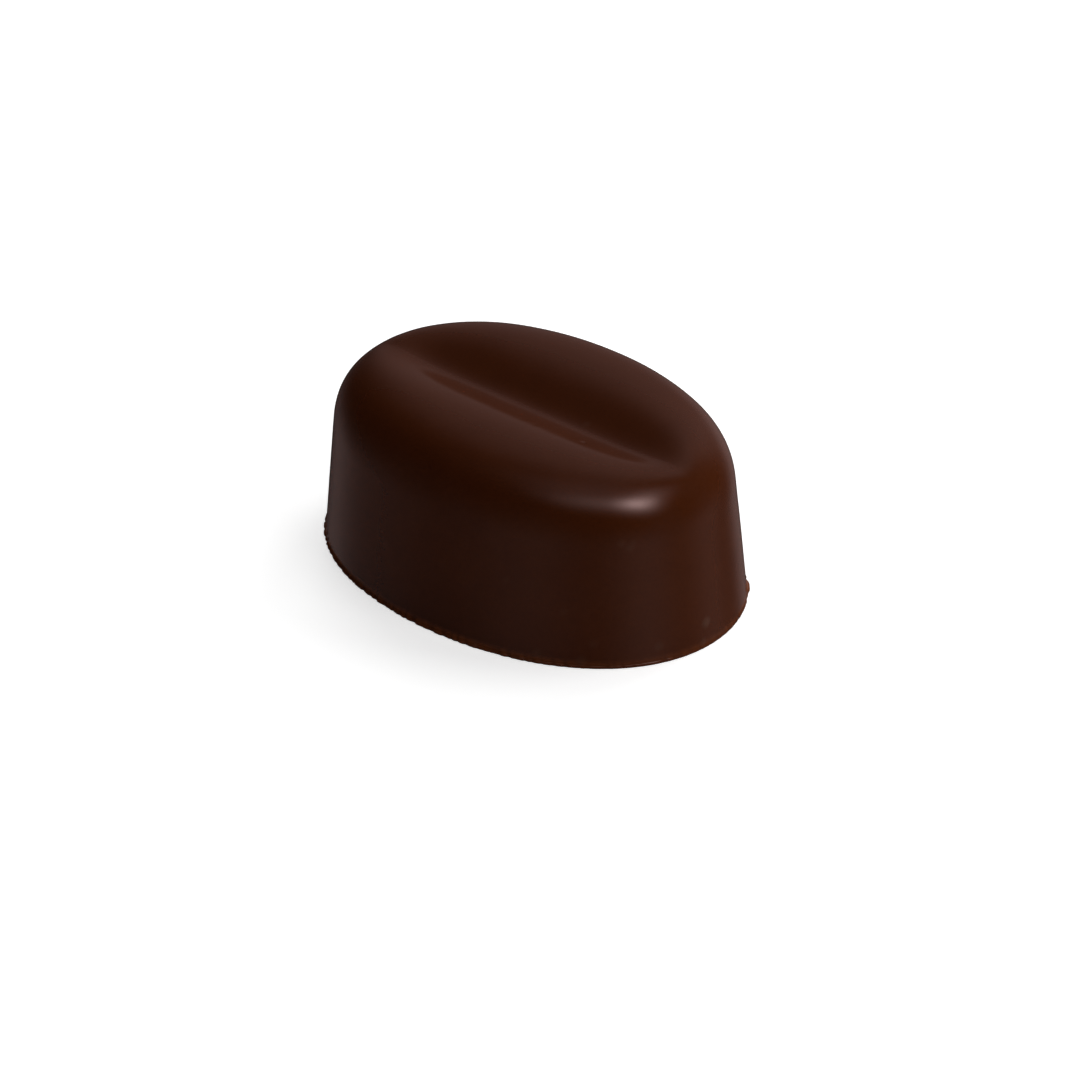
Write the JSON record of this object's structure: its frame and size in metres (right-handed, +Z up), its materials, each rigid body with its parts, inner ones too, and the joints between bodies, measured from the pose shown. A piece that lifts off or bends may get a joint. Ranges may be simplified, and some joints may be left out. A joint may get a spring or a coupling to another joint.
{
  "type": "moulded chocolate praline",
  "caption": "Solid dark chocolate in the shape of a coffee bean: flat oval base, leaning walls, soft shoulder and a broad creased valley along its top.",
  "frame": {"origin": "centre of the flat base", "axes": "+X along the bean's crease, +Y across it, +Z up out of the base"},
  "size_m": [0.033, 0.0232, 0.0136],
  "materials": {
    "dark_chocolate": "satin"
  },
  "bodies": {
    "root": {"praline": "dark_chocolate"}
  },
  "joints": []
}
